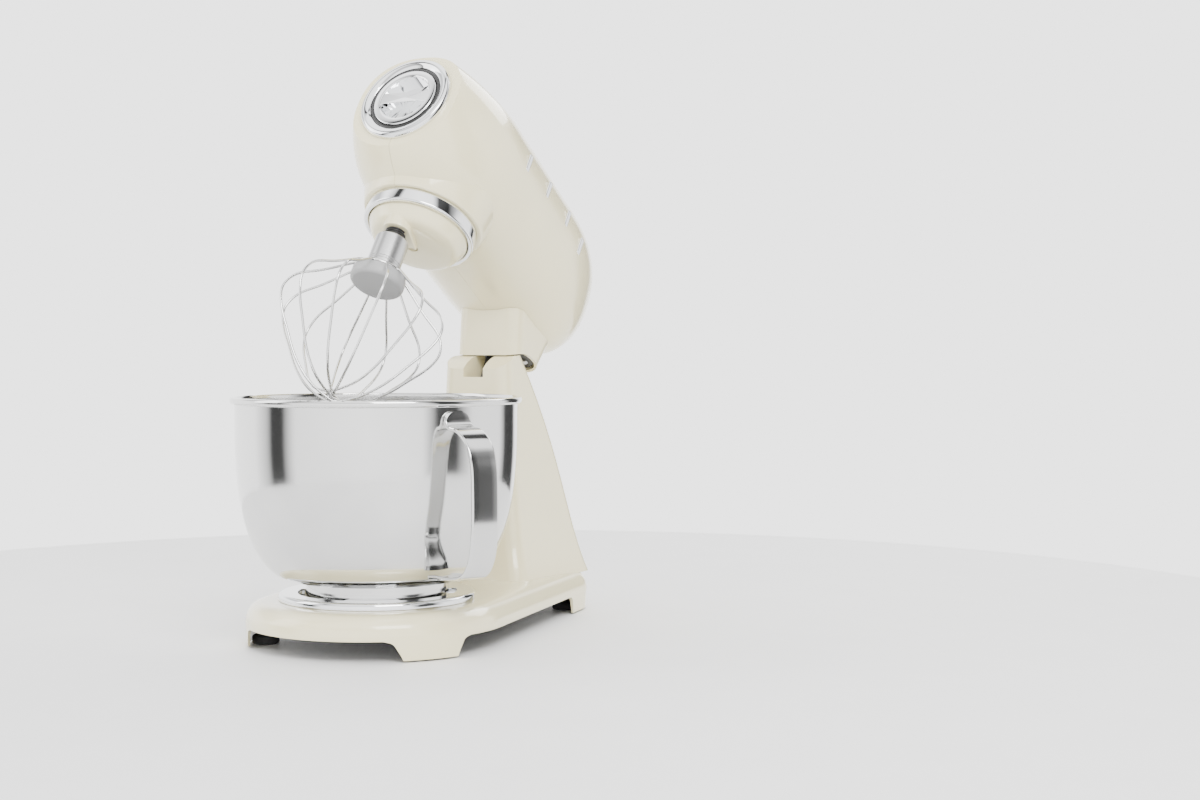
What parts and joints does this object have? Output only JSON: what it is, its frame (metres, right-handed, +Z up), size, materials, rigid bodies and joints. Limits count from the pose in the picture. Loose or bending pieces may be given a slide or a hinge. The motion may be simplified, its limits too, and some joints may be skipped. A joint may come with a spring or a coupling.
{
  "type": "stand mixer",
  "caption": "Tilt-head stand mixer with a rounded enamelled head and column, wire whisk, planetary drive, and a lift-off steel bowl with a strap handle.",
  "frame": {"origin": "middle of the bounding box, on the surface the mixer stands on", "axes": "+Z up, -Y towards the front where the bowl is, +X to the right-hand side seen from behind the bowl looking at the column"},
  "size_m": [0.273, 0.4474, 0.5025],
  "materials": {
    "cream_enamel": "high-gloss enamel",
    "chrome": "polished",
    "stainless_steel": "polished",
    "brushed_steel": "brushed",
    "machined_steel": "machined",
    "dark_plastic": "satin",
    "grey_plastic": "satin",
    "black_plastic": "satin",
    "black_rubber": "matt",
    "white_nylon": "satin",
    "cast_aluminium": "as cast",
    "copper_winding": "enamelled wire",
    "circuit_board": "satin"
  },
  "bodies": {
    "base": {"base_housing": "cream_enamel", "bottom_plate": "dark_plastic", "cord_inlet": "black_rubber", "foot_front_left": "black_rubber", "foot_front_right": "black_rubber", "foot_rear_left": "black_rubber", "foot_rear_right": "black_rubber", "bowl_seat_ring": "chrome", "hinge_pin": "machined_steel", "latch_guide": "cast_aluminium", "release_spring": "machined_steel"},
    "button": {"release_button": "chrome"},
    "slip_ring": {"bowl_slip_ring": "white_nylon"},
    "mixing_bowl": {"bowl": "stainless_steel", "bowl_foot_ring": "stainless_steel", "bowl_handle": "stainless_steel"},
    "head": {"head_shell_left": "cream_enamel", "head_shell_right": "cream_enamel", "neck_collar": "cream_enamel", "neck_plate": "dark_plastic", "neck_screw": "machined_steel", "hinge_block": "dark_plastic", "hinge_bush_left": "white_nylon", "hinge_bush_right": "white_nylon", "front_bezel": "chrome", "front_seal": "black_plastic", "socket_bearing": "cast_aluminium", "chassis_plate": "cast_aluminium", "hub_ring": "chrome", "ring_gear": "machined_steel", "drive_bridge": "cast_aluminium", "motor_stator": "machined_steel", "motor_winding": "copper_winding", "motor_plate_lower": "cast_aluminium", "motor_plate_upper": "cast_aluminium", "drive_belt": "black_rubber", "speed_track": "black_plastic", "speed_slider": "dark_plastic", "control_board": "circuit_board"},
    "lever": {"speed_lever": "chrome"},
    "cap": {"hub_cap": "chrome"},
    "socket": {"accessory_socket": "machined_steel"},
    "rotor": {"motor_shaft": "machined_steel", "motor_rotor": "machined_steel", "motor_fan": "white_nylon", "motor_pulley": "white_nylon"},
    "intermediate": {"pinion_shaft": "machined_steel", "large_pulley": "white_nylon"},
    "planetary": {"central_shaft": "machined_steel", "main_gear": "white_nylon", "planet_carrier": "cast_aluminium", "planet_cover": "cream_enamel", "cover_screw": "machined_steel"},
    "beater": {"beater_shaft": "machined_steel", "planet_pinion": "machined_steel", "beater_pin": "machined_steel", "shaft_spring": "black_plastic"},
    "whisk": {"whisk_hub": "brushed_steel", "whisk_disc": "grey_plastic", "whisk_wires": "stainless_steel"}
  },
  "joints": [
    {"name": "head_tilt", "type": "hinge", "parent": "base", "child": "head", "pos_m": [-0.01421, 0.08456, 0.197], "axis": [-1, 0, 0], "range_deg": [-34, 0]},
    {"name": "bowl_turn", "type": "hinge", "parent": "base", "child": "slip_ring", "pos_m": [-0.01421, -0.10144, 0.04], "axis": [0, 0, 1], "range_deg": [0, 25]},
    {"name": "bowl_lift", "type": "slide", "parent": "slip_ring", "child": "mixing_bowl", "axis": [0, 0, 1], "range_m": [0, 0.06]},
    {"name": "planetary_spin", "type": "hinge", "parent": "head", "child": "planetary", "pos_m": [-0.01421, -0.01205, 0.3864], "axis": [0, 0.5592, 0.829], "continuous": true},
    {"name": "beater_spin", "type": "hinge", "parent": "planetary", "child": "beater", "pos_m": [-0.01421, -0.05204, 0.37719], "axis": [0, 0.5592, 0.829], "continuous": true},
    {"name": "whisk_pull", "type": "slide", "parent": "beater", "child": "whisk", "axis": [0, -0.5592, -0.829], "range_m": [0, 0.03]},
    {"name": "intermediate_spin", "type": "hinge", "parent": "head", "child": "intermediate", "pos_m": [-0.01421, 0.02401, 0.38621], "axis": [0, 0.5592, 0.829], "continuous": true},
    {"name": "motor_spin", "type": "hinge", "parent": "head", "child": "rotor", "pos_m": [-0.01421, 0.10276, 0.33308], "axis": [0, 0.5592, 0.829], "continuous": true},
    {"name": "speed_lever_slide", "type": "slide", "parent": "head", "child": "lever", "axis": [0, 0.829, -0.5592], "range_m": [0, 0.045]},
    {"name": "hub_cap_pull", "type": "slide", "parent": "head", "child": "cap", "axis": [0, -0.829, 0.5592], "range_m": [0, 0.02]},
    {"name": "accessory_spin", "type": "hinge", "parent": "head", "child": "socket", "pos_m": [-0.01421, -0.03169, 0.44669], "axis": [0, -0.829, 0.5592], "continuous": true},
    {"name": "release_press", "type": "slide", "parent": "base", "child": "button", "axis": [0, -1, 0], "range_m": [0, 0.006], "stiffness_N_per_m": 400, "springref_m": -0.004, "deforming": ["release_spring"]}
  ],
  "couplings": [
    {"joint": "beater_spin", "follows": "planetary_spin", "ratio": -3},
    {"joint": "intermediate_spin", "follows": "planetary_spin", "ratio": -4},
    {"joint": "motor_spin", "follows": "planetary_spin", "ratio": -16}
  ]
}
